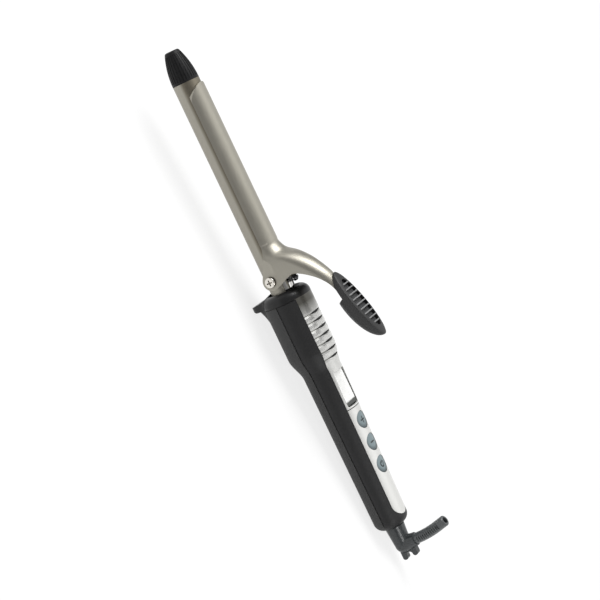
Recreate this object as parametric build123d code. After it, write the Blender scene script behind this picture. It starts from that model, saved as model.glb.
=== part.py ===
from build123d import *
import functools
import math
import os

# Curling iron. Sizes in millimetres. The tool lies along X with its cool tip at -X and its cord end
# at +X, the barrel's axis at y = z = 0 and the control panel facing +Z. It is laid on its stand last.

# Clearances
FIT_GAP = 0.05          # parts that plug into each other
SEAT_GAP = 0.05         # panels and blocks on curved seats
EDGE_GAP = 0.12         # panel edges, window edges
RUNNING_GAP = 0.06      # pivots and sliding stems

# Barrel and cool tip
BARREL_DIAMETER = 19.0
BARREL_WALL = 0.8
BARREL_LENGTH = 138.0
TIP_LENGTH = 22.6
TIP_END_RADIUS = 4.9
TIP_EDGE_ROUND = 1.6
TIP_WALL = 2.0
TIP_PLUG_LENGTH = 8.0
FLUTE_COUNT = 28
FLUTE_WIDTH = 0.8
FLUTE_DEPTH = 0.3
FLUTE_MARGIN = 1.6
FLUTE_END_MARGIN = 2.6

# Heater inside the barrel
HEATER_FROM_TIP = 14.0
HEATER_LENGTH = 70.0
HEATER_WIDTH = 7.0
HEATER_THICKNESS = 1.4
SPREADER_WALL = 0.8
SENSOR_DIAMETER = 2.4
SENSOR_LENGTH = 9.0

# Neck tube, hinge bracket and its insulating bush
NECK_DIAMETER = 13.8
NECK_WALL = 1.0
NECK_IN_BARREL = 8.0
NECK_IN_HANDLE = 20.5
BRACKET_TROUGH_TOP = 4.0
PIVOT_FROM_BARREL = 6.0
PIVOT_TO_COLLAR = 9.5
PIVOT_BOSS_DIAMETER = 8.8
BUSH_WALL = 3.0
BUSH_LENGTH = 16.0
BUSH_FROM_COLLAR = 1.5
BUSH_FLANGE_HEIGHT = 1.5
BUSH_FLANGE_WIDTH = 2.0

# Pivot screws
SCREW_HEAD_DIAMETER = 7.5
SCREW_HEAD_HEIGHT = 1.9
SCREW_HEAD_ROUND = 0.8
SCREW_SHOULDER_DIAMETER = 4.0
SCREW_THREAD_DIAMETER = 3.0
SCREW_CROSS_LENGTH = 4.2
SCREW_CROSS_WIDTH = 0.9
SCREW_CROSS_DEPTH = 1.0

# Clamp: spoon, ears and lever arm in one pressing
SHEET = 0.9
SPOON_GAP = 0.4
SPOON_HALF_ANGLE = 72.0
SPOON_FROM_TIP = 3.6
SPOON_END_ROUND = 11.0
SPOON_TO_PIVOT = 25.0
EAR_STANDOFF = 2.8
EAR_RADIUS = 6.0
EAR_SIDE_GAP = 0.15
# Each lever station: distance behind the spoon's end, rise above the spoon, half width,
# half angle of the arch
LEVER_STATIONS = [
    (3.0, 0.2, 10.2, 73.0),
    (6.0, 1.6, 10.6, 74.0),
    (9.0, 4.1, 11.0, 76.0),
    (13.0, 10.4, 11.0, 79.0),
    (20.0, 17.7, 10.0, 81.0),
    (27.0, 22.9, 8.8, 81.0),
    (35.0, 27.5, 7.4, 81.0),
    (44.0, 30.5, 6.3, 81.0),
    (56.0, 32.0, 5.6, 81.0),
    (68.0, 33.0, 5.2, 81.0),
]
LEVER_SECTIONS = 24
# The arm's lower edge: distance behind the pivot, height above the barrel's axis
LEVER_UNDERSIDE = [(2.0, 11.0), (0.4, 16.5), (2.4, 22.0), (6.5, 28.0), (12.2, 33.8), (21.5, 38.6),
                   (31.0, 40.0), (44.0, 41.4)]

# Thumb rest
REST_LENGTH = 53.0
REST_WIDTH = 18.0
REST_CROWN = 2.2
REST_BELLY = 12.0
REST_FROM_PIVOT = 36.2
REST_HEIGHT = 48.0
REST_TILT = 17.0
REST_STEP_FROM_PIVOT = 28.6
REST_STEP_HEIGHT = 41.4
REST_POCKET_LENGTH = 39.0
REST_POCKET_WIDTH = 14.4
REST_POCKET_FLOOR = -0.9
REST_STEP_SLANT = 3.5
RIB_COUNT = 9
RIB_PITCH = 4.0
RIB_THICKNESS = 0.9

# Return spring with its bracket and pin
SPRING_FROM_PIVOT = 4.4
SPRING_HEIGHT = 11.4
SPRING_MEAN_RADIUS = 1.65
SPRING_WIRE = 0.9
SPRING_TURNS = 2
SPRING_PITCH = 1.45
SPRING_LIFT_ANGLE = 60.0
SPRING_LIFT_LENGTH = 17.1
SPRING_TAIL_LENGTH = 9.5
SPRING_PIN_DIAMETER = 1.3
SPRING_CHEEK = 1.0
SPRING_CHEEK_WIDTH = 2.2
SPRING_CHEEK_GAP = 0.3
SPRING_BASE_LENGTH = 3.2

# Handle: two shells split at the seam plane, wide at the grip and slimmer from the step on
COLLAR_FRONT_X = -3.5
COLLAR_LENGTH = 7.0
SEAM_Z = -1.4
HANDLE_LENGTH = 171.5
HANDLE_WALL = 2.4
HANDLE_END_WALL = 3.0
HANDLE_END_ROUND = 6.0
SEAM_GROOVE_WIDTH = 0.8
SEAM_GROOVE_DEPTH = 0.7
COLLAR_GROOVE_WIDTH = 0.5
GRIP_HALF_WIDTH = 18.0
GRIP_TOP = 17.2
GRIP_BOTTOM = 16.8
STEP_FROM_COLLAR = 38.0
STEP_LENGTH = 16.0
WAIST_HALF_WIDTH = 14.8
WAIST_TOP = 14.6
WAIST_BOTTOM = 12.3
TAIL_HALF_WIDTH = 13.4
TAIL_TOP = 11.5

# Collar with its stand
COLLAR_ROUND = 6.0
COLLAR_DISH_DEPTH = 2.0
COLLAR_DISH_RADIUS = 11.6
COLLAR_FLOOR_RADIUS = 10.0
STAND_DEPTH = 25.8
STAND_FOOT_X = 1.0
STAND_FOOT_LENGTH = 2.6
STAND_FOOT_HALF_WIDTH = 6.5
STAND_ROOT_HALF_WIDTH = 12.5
STAND_EXTRA = 1.5
STAND_ROOT_DEPTH = 9.9
STAND_TOE_HEIGHT = 3.0
STAND_ROOT_REACH = 1.4
STAND_WAIST_SET = 1.5
STAND_ROOT_SPREAD = 15.0
STAND_POINTS = 10
FAIRING_LENGTH = 17.0
FAIRING_SECTIONS = 6
FAIRING_INSET = 0.6
HEEL_FROM_END = 9.0
HEEL_TRIM = 0.25

# Silver panels in the front shell
PANEL_THICKNESS = 1.3
PANEL_GRIP_HALF_WIDTH = 11.8
PANEL_WAIST_HALF_WIDTH = 9.4
PANEL_TAIL_HALF_WIDTH = 8.4
PANEL_LENGTH = 165.0
PANEL_CORNER_ROUND = 10.0
PANEL_SPLIT_FROM_COLLAR = 83.9
PANEL_SPLIT_GAP = 0.6
GROOVE_COUNT = 7
GROOVE_PITCH = 5.4
GROOVE_FROM_COLLAR = 13.8
GROOVE_WIDTH = 3.6
GROOVE_DEPTH = 0.55
GROOVE_LIP = 0.06
SLOT_LENGTH = 15.5
SLOT_WIDTH = 1.7

# Display
WINDOW_FROM_COLLAR = 56.5
WINDOW_LENGTH = 26.0
WINDOW_HALF_WIDTH = 7.8
WINDOW_CORNER = 1.4
FRAME_WALL = 1.6
LENS_TOP_Z = 9.9
LENS_THICKNESS = 1.2
GLASS_THICKNESS = 2.0

# Buttons
BUTTON_DIAMETER = 12.2
BUTTON_FROM_COLLAR = 94.5
BUTTON_PITCH = 16.7
BUTTON_RECESS = 0.3
BUTTON_TRAVEL = 0.5
BUTTON_FLANGE_DIAMETER = 13.4
BUTTON_FLANGE_TOP_Z = 6.6
BUTTON_FLANGE_THICKNESS = 0.8
BUTTON_STEM_DIAMETER = 4.0
SYMBOL_LENGTH = 5.0
SYMBOL_WIDTH = 1.0
SYMBOL_DEPTH = 0.4

# Control board and what is on it
BOARD_FROM_COLLAR = 48.0
BOARD_LENGTH = 93.0
BOARD_HALF_WIDTH = 8.0
BOARD_THICKNESS = 1.6
BOARD_TOP_Z = 0.8
BOARD_POST_DIAMETER = 4.4
BOARD_POST_INSET = 3.5
BOARD_SCREW_DIAMETER = 2.0
BOARD_SCREW_HEAD = 4.0
BOARD_SCREW_LENGTH = 6.0
SWITCH_SIZE = 6.0
SWITCH_HEIGHT = 3.5
PLUNGER_DIAMETER = 3.4
PLUNGER_RISE = 1.1
PLUNGER_DEPTH = 1.2
TRIAC_FROM_COLLAR = 66.0
TRIAC_SIZE = (10.0, 10.0, 4.5)
CAPACITOR_FROM_COLLAR = 116.0
CAPACITOR_SIZE = (13.0, 8.0, 8.6)

# Shell screws, from the back
SHELL_SCREW_FROM_COLLAR = (28.5, 146.5)
SHELL_BOSS_DIAMETER = 6.0
SHELL_SCREW_DIAMETER = 2.6
SHELL_SCREW_HEAD = 5.0
SHELL_SCREW_HEAD_HEIGHT = 1.8
SHELL_SCREW_SINK = 3.0
SHELL_SCREW_BITE = 7.0
SHELL_SCREW_SEAT_WALL = 1.4
RIB_WALL = 2.0

# Swivel, elbow, boot and hook at the cord end
SPIGOT_DIAMETER = 12.2
SWIVEL_FLANGE_DIAMETER = 16.4
SWIVEL_FLANGE_WIDTH = 3.2
SWIVEL_END_GAP = 0.4
SWIVEL_SIDE_GAP = 0.15
SWIVEL_CORE_DIAMETER = 8.8
SWIVEL_CORE_LENGTH = 10.0
NECK_BASE_DIAMETER = 14.0
NECK_TIP_DIAMETER = 11.6
ELBOW_FROM_HANDLE = 14.8
ELBOW_LEAN = 6.0
ELBOW_BEND = 8.0
SLEEVE_LENGTH = 11.0
SLEEVE_TIP_DIAMETER = 9.4
CORD_BORE_DIAMETER = 4.4
BOOT_DIAMETER = 7.7
BOOT_RIM_ROUND = 1.0
BOOT_STRAIGHT = 3.0
BOOT_ARC_LENGTH = 16.5
BOOT_BEND = 12.0
BOOT_MOUTH_LENGTH = 8.0
BOOT_RIB_COUNT = 12
BOOT_RIB_PITCH = 1.7
BOOT_SLOT = 0.8
BOOT_SLOT_DEPTH = 0.7
BOOT_SLOT_LENGTH = 4.8
HOOK_THICKNESS = 4.2
HOOK_REACH = 25.8
HOOK_SLANT = 1.8
HOOK_LOW = -3.7
HOOK_HIGH = 8.7
HOOK_NOTCH_WIDTH = 4.6
HOOK_NOTCH_DEPTH = 5.2
HOOK_ROUND = 1.6
RING_WIDTH = 2.2
RING_PITCH = 4.2
RING_WALL = 0.9
RING_FROM_TIP = 1.5
BRUSH_THICKNESS = 0.3
BRUSH_HALF_SPAN = 5.0
BRUSH_BLOCK_TOP_Z = -9.0
BRUSH_BLOCK_LENGTH = 10.0

# Leads
LEAD_DIAMETER = 1.8
LEAD_SIDE = 4.6
MAINS_LEAD_SIDE = 5.4
LEAD_HEATER_SIDE = 2.2
LEAD_BEND = 12.0
LEAD_ON_BOARD = 6.0

# Places that follow from the sizes
BARREL_RADIUS = BARREL_DIAMETER / 2
NECK_RADIUS = NECK_DIAMETER / 2
SHELL_FRONT_X = COLLAR_FRONT_X + COLLAR_LENGTH
HANDLE_END_X = SHELL_FRONT_X + HANDLE_LENGTH
STEP_START_X = SHELL_FRONT_X + STEP_FROM_COLLAR
STEP_END_X = STEP_START_X + STEP_LENGTH
PIVOT_X = COLLAR_FRONT_X - PIVOT_TO_COLLAR
BARREL_BACK_X = PIVOT_X - PIVOT_FROM_BARREL
BARREL_FRONT_X = BARREL_BACK_X - BARREL_LENGTH
NECK_FRONT_X = BARREL_BACK_X - NECK_IN_BARREL
NECK_BACK_X = SHELL_FRONT_X + NECK_IN_HANDLE
SPOON_IN = BARREL_RADIUS + SPOON_GAP
SPOON_OUT = SPOON_IN + SHEET
SPOON_EDGE = math.radians(SPOON_HALF_ANGLE)
EAR_OUT = BARREL_RADIUS + EAR_STANDOFF
EAR_IN = EAR_OUT - SHEET
CLAMP_ROOT_X = PIVOT_X - SPOON_TO_PIVOT
BOARD_BOTTOM_Z = BOARD_TOP_Z - BOARD_THICKNESS
BOARD_FRONT_X = SHELL_FRONT_X + BOARD_FROM_COLLAR
BOARD_BACK_X = BOARD_FRONT_X + BOARD_LENGTH
WINDOW_X = SHELL_FRONT_X + WINDOW_FROM_COLLAR + WINDOW_LENGTH / 2
LENS_BOTTOM_Z = LENS_TOP_Z - LENS_THICKNESS
BUTTON_XS = [SHELL_FRONT_X + BUTTON_FROM_COLLAR + BUTTON_PITCH * i for i in range(3)]
PLUNGER_TOP_Z = BOARD_TOP_Z + SWITCH_HEIGHT + PLUNGER_RISE
POST_XS = [BOARD_FRONT_X + BOARD_POST_INSET, BOARD_BACK_X - BOARD_POST_INSET]
SHELL_SCREW_XS = [SHELL_FRONT_X + place for place in SHELL_SCREW_FROM_COLLAR]
ELBOW_X = HANDLE_END_X + ELBOW_FROM_HANDLE
FLANGE_BACK_X = HANDLE_END_X - HANDLE_END_WALL - SWIVEL_SIDE_GAP
FLANGE_FRONT_X = FLANGE_BACK_X - SWIVEL_FLANGE_WIDTH
CORE_FRONT_X = FLANGE_FRONT_X - SWIVEL_CORE_LENGTH
RING_RADIUS = SWIVEL_CORE_DIAMETER / 2 + RING_WALL
RING_XS = [CORE_FRONT_X + RING_FROM_TIP + RING_PITCH * i for i in range(2)]
HEATER_FRONT_X = BARREL_FRONT_X + HEATER_FROM_TIP
HEATER_BACK_X = HEATER_FRONT_X + HEATER_LENGTH
STEP_SECTIONS = 6       # sections of the handle's step
END_SECTIONS = 5        # sections of the handle's rounded end
CUT_REACH = 1.0         # how far a cutter passes a face
FAR = 400.0             # larger than the tool, for half spaces


def along_x(radius, x0, x1, y=0.0, z=0.0):
    return extrude(Plane.YZ.offset(x0) * Pos(y, z) * Circle(radius), x1 - x0)


def ring_x(outer, inner, x0, x1, z=0.0):
    return along_x(outer, x0, x1, 0, z) - along_x(inner, x0, x1, 0, z)


def along_y(radius, y0, y1, x, z):
    plane = Plane(origin=(x, y0, z), x_dir=(1, 0, 0), z_dir=(0, 1, 0))
    return extrude(plane * Circle(radius), y1 - y0)


def along_z(radius, z0, z1, x, y=0.0):
    return extrude(Plane(origin=(x, y, z0)) * Circle(radius), z1 - z0)


def block(x0, x1, y0, y1, z0, z1):
    center = ((x0 + x1) / 2, (y0 + y1) / 2, (z0 + z1) / 2)
    return Pos(*center) * Box(x1 - x0, y1 - y0, z1 - z0)


def slab(outline, half_width):
    """Side outline, drawn in x and z, made as thick as twice half_width."""
    return extrude(Plane.XZ * outline, half_width, both=True)


def turned(outline):
    """Outline drawn in x and radius, turned about the barrel's axis."""
    return revolve(Plane.XZ * outline, Axis.X)


def cone_x(radius0, radius1, x0, x1, z=0.0):
    front = Plane.YZ.offset(x0) * Pos(0, z) * Circle(radius0)
    back = Plane.YZ.offset(x1) * Pos(0, z) * Circle(radius1)
    return loft([front, back])


def smooth(x, x0, x1):
    """Share of the way from x0 to x1, easing in and out."""
    share = min(max((x - x0) / (x1 - x0), 0.0), 1.0)
    return share * share * (3 - 2 * share)


def handle_radii(x):
    """Half width, height above the seam and depth below it at one place along the handle."""
    step = smooth(x, STEP_START_X, STEP_END_X)
    taper = max(0.0, (x - STEP_END_X) / (HANDLE_END_X - STEP_END_X))
    half_width = GRIP_HALF_WIDTH + (WAIST_HALF_WIDTH - GRIP_HALF_WIDTH) * step
    half_width += (TAIL_HALF_WIDTH - WAIST_HALF_WIDTH) * taper
    top = GRIP_TOP + (WAIST_TOP - GRIP_TOP) * step + (TAIL_TOP - WAIST_TOP) * taper
    bottom = GRIP_BOTTOM + (WAIST_BOTTOM - GRIP_BOTTOM) * step
    return half_width, top, bottom


def half_oval(x, side, inset, past_seam=0.0):
    """Half of the handle's section, above (side 1) or below (side -1) the seam."""
    half_width, top, bottom = handle_radii(x)
    height = (top if side > 0 else bottom) - inset
    start = 0 if side > 0 else 180
    arc = EllipticalCenterArc((0, 0), half_width - inset, height, start_angle=start, arc_size=180)
    low = -side * past_seam
    edges = [arc, Line(arc @ 1, arc @ 0)]
    if past_seam:
        edges = [arc, Polyline(arc @ 1, ((arc @ 1).X, low), ((arc @ 0).X, low), arc @ 0)]
    plane = Plane(origin=(x, 0, SEAM_Z), x_dir=(0, 1, 0), z_dir=(1, 0, 0))
    return plane * make_face(edges)


@functools.lru_cache(maxsize=None)
def handle_half(side, inset=0.0, x0=SHELL_FRONT_X, x1=HANDLE_END_X, past_seam=0.0):
    """Solid upper or lower half of the handle, drawn in by inset all round."""
    shares = [i / STEP_SECTIONS for i in range(STEP_SECTIONS + 1)]
    step_xs = [STEP_START_X + STEP_LENGTH * share for share in shares]
    runs = [(x0, STEP_START_X), step_xs, (STEP_END_X, x1)]
    parts = [loft([half_oval(x, side, inset, past_seam) for x in run]) for run in runs]
    return parts[0] + parts[1] + parts[2]


def handle_core(side, inset, x1=HANDLE_END_X + CUT_REACH):
    """The same half as a cutter, past the seam and the open front."""
    return handle_half(side, inset, SHELL_FRONT_X - CUT_REACH, x1, CUT_REACH)


@functools.lru_cache(maxsize=None)
def rounded_half(side):
    """Outer form of one shell, with its rounded end."""
    body_end_x = HANDLE_END_X - HANDLE_END_ROUND
    sections = []
    for i in range(END_SECTIONS + 1):
        turn = math.pi / 2 * i / END_SECTIONS
        x = body_end_x + HANDLE_END_ROUND * math.sin(turn)
        sections.append(half_oval(x, side, HANDLE_END_ROUND * (1 - math.cos(turn))))
    return handle_half(side, 0.0, SHELL_FRONT_X, body_end_x) + loft(sections)


# The table touches the stand's foot and the handle's heel
HEEL_X = HANDLE_END_X - HEEL_FROM_END
HEEL_Z = SEAM_Z - handle_radii(HEEL_X)[2] + HEEL_TRIM
TABLE_ANGLE = math.degrees(math.atan2(HEEL_Z + STAND_DEPTH, HEEL_X - STAND_FOOT_X))
TABLE = Pos(STAND_FOOT_X, 0, -STAND_DEPTH) * Rot(0, -TABLE_ANGLE, 0)
UNDER_TABLE = TABLE * block(-FAR, FAR, -FAR, FAR, -FAR, 0)
PLACE = Rot(0, TABLE_ANGLE, 0) * Pos(-STAND_FOOT_X, 0, STAND_DEPTH)


def barrel_tube():
    return ring_x(BARREL_RADIUS, BARREL_RADIUS - BARREL_WALL, BARREL_FRONT_X, BARREL_BACK_X)


def tip_curve(inset):
    """Side curve of the tip from the barrel to its small flat end."""
    end_x = BARREL_FRONT_X - TIP_LENGTH
    start = (BARREL_FRONT_X, BARREL_RADIUS - inset)
    return TangentArc(start, (end_x, TIP_END_RADIUS - inset), tangent=(-1, 0))


def cool_tip():
    base_x = BARREL_FRONT_X
    end_x = base_x - TIP_LENGTH
    plug = BARREL_RADIUS - BARREL_WALL - FIT_GAP
    rest = Polyline((end_x, TIP_END_RADIUS), (end_x, 0), (base_x, 0), (base_x, BARREL_RADIUS))
    tip = turned(make_face([tip_curve(0.0), rest]))
    tip = fillet(tip.edges().group_by(Axis.X)[0], TIP_EDGE_ROUND)
    bottom = tip_curve(FLUTE_DEPTH)
    above = Polyline(bottom @ 1, (end_x, BARREL_DIAMETER), (base_x, BARREL_DIAMETER), bottom @ 0)
    flute = slab(make_face([bottom, above]), FLUTE_WIDTH / 2)
    flute &= block(end_x + FLUTE_END_MARGIN, base_x - FLUTE_MARGIN, -FAR, FAR, -FAR, FAR)
    for i in range(FLUTE_COUNT):
        tip -= Rot(360 / FLUTE_COUNT * i, 0, 0) * flute
    tip += along_x(plug, base_x, base_x + TIP_PLUG_LENGTH)
    hollow = Polyline((end_x + TIP_WALL, 0), (end_x + TIP_WALL, TIP_END_RADIUS - TIP_WALL),
                      (base_x, plug - TIP_WALL), (base_x + TIP_PLUG_LENGTH, plug - TIP_WALL),
                      (base_x + TIP_PLUG_LENGTH, 0), close=True)
    return tip - turned(make_face(hollow))


def heater_plate():
    half_width = HEATER_WIDTH / 2
    half_thick = HEATER_THICKNESS / 2
    return block(HEATER_FRONT_X, HEATER_BACK_X, -half_width, half_width, -half_thick, half_thick)


def heat_spreader(side):
    """Hollow half round of thin metal between the heater plate and the barrel."""
    outer = BARREL_RADIUS - BARREL_WALL - FIT_GAP
    seat = HEATER_THICKNESS / 2
    keep = block(-FAR, FAR, -FAR, FAR, seat, FAR)
    keep_inside = block(-FAR, FAR, -FAR, FAR, seat + SPREADER_WALL, FAR)
    solid = along_x(outer, HEATER_FRONT_X, HEATER_BACK_X) & keep
    solid -= along_x(outer - SPREADER_WALL, HEATER_FRONT_X, HEATER_BACK_X) & keep_inside
    return solid if side > 0 else Rot(180, 0, 0) * solid


def temperature_sensor():
    radius = SENSOR_DIAMETER / 2
    z = HEATER_THICKNESS / 2 + SPREADER_WALL + radius
    body = along_x(radius, HEATER_BACK_X - 2 * SENSOR_LENGTH, HEATER_BACK_X - SENSOR_LENGTH, 0, z)
    return fillet(body.edges(), radius / 2)


def neck_tube():
    return ring_x(NECK_RADIUS, NECK_RADIUS - NECK_WALL, NECK_FRONT_X, NECK_BACK_X)


def hinge_bracket():
    """Plug in the barrel's end, then an open trough under the neck with a boss at each pivot."""
    back_x = COLLAR_FRONT_X + COLLAR_DISH_DEPTH - FIT_GAP
    face_y = EAR_IN - EAR_SIDE_GAP
    trough = along_x(BARREL_RADIUS, BARREL_BACK_X, back_x)
    trough -= block(BARREL_BACK_X, back_x, -FAR, FAR, BRACKET_TROUGH_TOP, FAR)
    bosses = along_y(PIVOT_BOSS_DIAMETER / 2, -face_y, face_y, PIVOT_X, 0)
    bosses -= block(-FAR, FAR, -NECK_RADIUS, NECK_RADIUS, -FAR, FAR)
    solid = trough + bosses + along_x(BARREL_RADIUS - BARREL_WALL - FIT_GAP, NECK_FRONT_X, BARREL_BACK_X)
    solid -= along_x(NECK_RADIUS + FIT_GAP, -FAR, FAR)
    return solid - along_y(SCREW_THREAD_DIAMETER / 2, -FAR, FAR, PIVOT_X, 0)


def neck_bush():
    """Insulating sleeve that the shells' ribs hold by its flange."""
    inner = NECK_RADIUS + FIT_GAP
    x0 = SHELL_FRONT_X + BUSH_FROM_COLLAR
    middle = x0 + BUSH_LENGTH / 2
    solid = ring_x(inner + BUSH_WALL, inner, x0, x0 + BUSH_LENGTH)
    half = BUSH_FLANGE_WIDTH / 2
    return solid + ring_x(inner + BUSH_WALL + BUSH_FLANGE_HEIGHT, inner, middle - half, middle + half)


def pivot_screw(side):
    head_y = EAR_OUT + EAR_SIDE_GAP
    thread_end = NECK_RADIUS + FIT_GAP
    boss_face = EAR_IN - EAR_SIDE_GAP
    head = along_y(SCREW_HEAD_DIAMETER / 2, head_y, head_y + SCREW_HEAD_HEIGHT, PIVOT_X, 0)
    head = fillet(head.edges().group_by(Axis.Y)[-1], SCREW_HEAD_ROUND)
    arm = SCREW_CROSS_LENGTH / 2
    half = SCREW_CROSS_WIDTH / 2
    cross_y = head_y + SCREW_HEAD_HEIGHT - SCREW_CROSS_DEPTH
    head -= block(PIVOT_X - arm, PIVOT_X + arm, cross_y, FAR, -half, half)
    head -= block(PIVOT_X - half, PIVOT_X + half, cross_y, FAR, -arm, arm)
    solid = head + along_y(SCREW_SHOULDER_DIAMETER / 2, boss_face, head_y, PIVOT_X, 0)
    solid += along_y(SCREW_THREAD_DIAMETER / 2 - FIT_GAP, thread_end, boss_face, PIVOT_X, 0)
    return solid if side > 0 else mirror(solid, Plane.XZ)


def lever_table():
    """Spoon end and lever stations as place, crown height, half width and arch half angle."""
    rows = [(CLAMP_ROOT_X, SPOON_OUT, SPOON_OUT * math.sin(SPOON_EDGE), SPOON_HALF_ANGLE)]
    for behind, rise, half_width, angle in LEVER_STATIONS:
        rows.append((CLAMP_ROOT_X + behind, SPOON_OUT + rise, half_width, angle))
    return rows


def lever_slope(rows, i, column):
    """Slope of one column of the table at a station; level at the spoon's end."""
    if i == 0:
        return 0.0
    before = rows[i - 1]
    after = rows[min(i + 1, len(rows) - 1)]
    return (after[column] - before[column]) / (after[0] - before[0])


def lever_value(rows, x, column):
    """One column of the table at any place, on a smooth curve through the stations."""
    i = max(k for k in range(len(rows) - 1) if rows[k][0] <= x)
    span = rows[i + 1][0] - rows[i][0]
    t = (x - rows[i][0]) / span
    rise = rows[i + 1][column] - rows[i][column]
    ease = t * t * (3 - 2 * t)
    start_pull = t * (1 - t) ** 2 * span * lever_slope(rows, i, column)
    end_pull = t * t * (t - 1) * span * lever_slope(rows, i + 1, column)
    return rows[i][column] + rise * ease + start_pull + end_pull


def lever_form(sheet):
    """Solid arch of the clamp from the spoon's end to the lever's end, drawn in by the sheet."""
    rows = lever_table()
    length = rows[-1][0] - rows[0][0]
    step = length / LEVER_SECTIONS
    low = -2 * EAR_RADIUS
    faces = []
    for i in range(LEVER_SECTIONS + 1):
        x = rows[0][0] + step * i
        crown, half_width, degrees = [lever_value(rows, x, column) for column in (1, 2, 3)]
        ahead = lever_value(rows, min(x + step / 2, rows[-1][0]), 1)
        behind = lever_value(rows, max(x - step / 2, rows[0][0]), 1)
        angle = math.radians(degrees)
        width = half_width - sheet * math.sin(angle)
        flank_width = half_width + SHEET / 2
        flare = smooth(x, rows[0][0], rows[4][0])
        ear = flank_width + max(0.0, EAR_OUT - flank_width) * flare - sheet
        top = crown - sheet * math.hypot(1.0, (ahead - behind) / step)
        shoulder = top - width * math.tan(angle / 2)
        flank = shoulder - (ear - width) * math.tan(angle)
        arch = ThreePointArc((-width, shoulder), (0, top), (width, shoulder))
        sides = Polyline((width, shoulder), (ear, flank), (ear, low + flank), (-ear, low + flank),
                         (-ear, flank), (-width, shoulder))
        faces.append(Plane.YZ.offset(x) * make_face([arch, sides]))
    return loft(faces)


def clamp_side():
    """Side outline of ears and lever: everything above the sheet's lower edge."""
    start = (CLAMP_ROOT_X, SPOON_OUT * math.cos(SPOON_EDGE))
    ear = CenterArc((PIVOT_X, 0), EAR_RADIUS, 240, 130)
    front = Spline(start, ear @ 0, tangents=((1, 0), ear % 0))
    under = [(PIVOT_X + behind, z) for behind, z in LEVER_UNDERSIDE]
    rear = Spline(ear @ 1, *under, tangents=(ear % 1, (1, 0)))
    top = Polyline(rear @ 1, (under[-1][0], FAR), (CLAMP_ROOT_X, FAR), start)
    return make_face([front, ear, rear, top])


def spoon():
    """Curved sheet over the barrel with a rounded front end."""
    front_x = BARREL_FRONT_X + SPOON_FROM_TIP
    half_width = SPOON_OUT * math.sin(SPOON_EDGE)
    edge_z = SPOON_OUT * math.cos(SPOON_EDGE)
    sheet = ring_x(SPOON_OUT, SPOON_IN, front_x, CLAMP_ROOT_X)
    far_y = FAR * math.sin(SPOON_EDGE)
    far_z = FAR * math.cos(SPOON_EDGE)
    wedge = make_face(Polyline((0, 0), (far_y, far_z), (0, FAR), (-far_y, far_z), close=True))
    sheet &= extrude(Plane.YZ.offset(front_x) * wedge, CLAMP_ROOT_X - front_x)
    center = (front_x + SPOON_END_ROUND, 0)
    end = EllipticalCenterArc(center, SPOON_END_ROUND, half_width, start_angle=90, arc_size=180)
    sides = Polyline(end @ 1, (CLAMP_ROOT_X, -half_width), (CLAMP_ROOT_X, half_width), end @ 0)
    return sheet & extrude(Plane.XY.offset(edge_z / 2) * make_face([end, sides]), SPOON_OUT)


def clamp():
    lever = (lever_form(0.0) - lever_form(SHEET)) & slab(clamp_side(), EAR_OUT * 2)
    solid = spoon() + lever
    hole = along_y(SCREW_SHOULDER_DIAMETER / 2 + RUNNING_GAP, -FAR, FAR, PIVOT_X, 0)
    return solid - hole


def thumb_rest():
    """Boat-shaped rest: crowned ribbed top, deep belly behind the step, hollow for the lever."""
    half = REST_LENGTH / 2
    wide = REST_WIDTH / 2
    upper = scale(Sphere(1), by=(half, wide, REST_CROWN)) & block(-FAR, FAR, -FAR, FAR, 0, FAR)
    lower = scale(Sphere(1), by=(half, wide, REST_BELLY)) & block(-FAR, FAR, -FAR, FAR, -FAR, 0)
    pocket = extrude(Ellipse(REST_POCKET_LENGTH / 2, REST_POCKET_WIDTH / 2), REST_CROWN - REST_POCKET_FLOOR)
    pocket = Pos(0, 0, REST_POCKET_FLOOR) * pocket
    for i in range(RIB_COUNT):
        x = RIB_PITCH * (i - (RIB_COUNT - 1) / 2)
        pocket -= block(x - RIB_THICKNESS / 2, x + RIB_THICKNESS / 2, -wide, wide, -FAR, FAR)
    solid = upper + lower - pocket
    solid = Pos(PIVOT_X + REST_FROM_PIVOT, 0, REST_HEIGHT) * Rot(0, -REST_TILT, 0) * solid
    step_x = PIVOT_X + REST_STEP_FROM_PIVOT
    front_x = step_x - REST_LENGTH
    front_z = REST_STEP_HEIGHT - REST_LENGTH * math.tan(math.radians(REST_TILT))
    low_z = REST_STEP_HEIGHT - 2 * REST_STEP_SLANT
    below = Polyline((step_x, REST_STEP_HEIGHT), (front_x, front_z), (front_x, -FAR),
                     (step_x + REST_STEP_SLANT, -FAR), (step_x + REST_STEP_SLANT, low_z), close=True)
    solid -= slab(make_face(below), wide)
    return solid - (lever_form(-FIT_GAP) & slab(clamp_side(), EAR_OUT))


def coil_point(turn):
    """Point on the spring's coil: it starts below the pin, heading forward, and winds upward in front."""
    angle = 2 * math.pi * turn
    x = PIVOT_X + SPRING_FROM_PIVOT - SPRING_MEAN_RADIUS * math.sin(angle)
    z = SPRING_HEIGHT - SPRING_MEAN_RADIUS * math.cos(angle)
    return Vector(x, SPRING_PITCH * (turn - SPRING_TURNS / 2), z)


def coil_heading(turn):
    angle = 2 * math.pi * turn
    speed = 2 * math.pi * SPRING_MEAN_RADIUS
    return Vector(-speed * math.cos(angle), SPRING_PITCH, speed * math.sin(angle)).normalized()


def spring_tail():
    """End of the straight leg that the collar holds."""
    return coil_point(0) - coil_heading(0) * SPRING_TAIL_LENGTH


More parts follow.
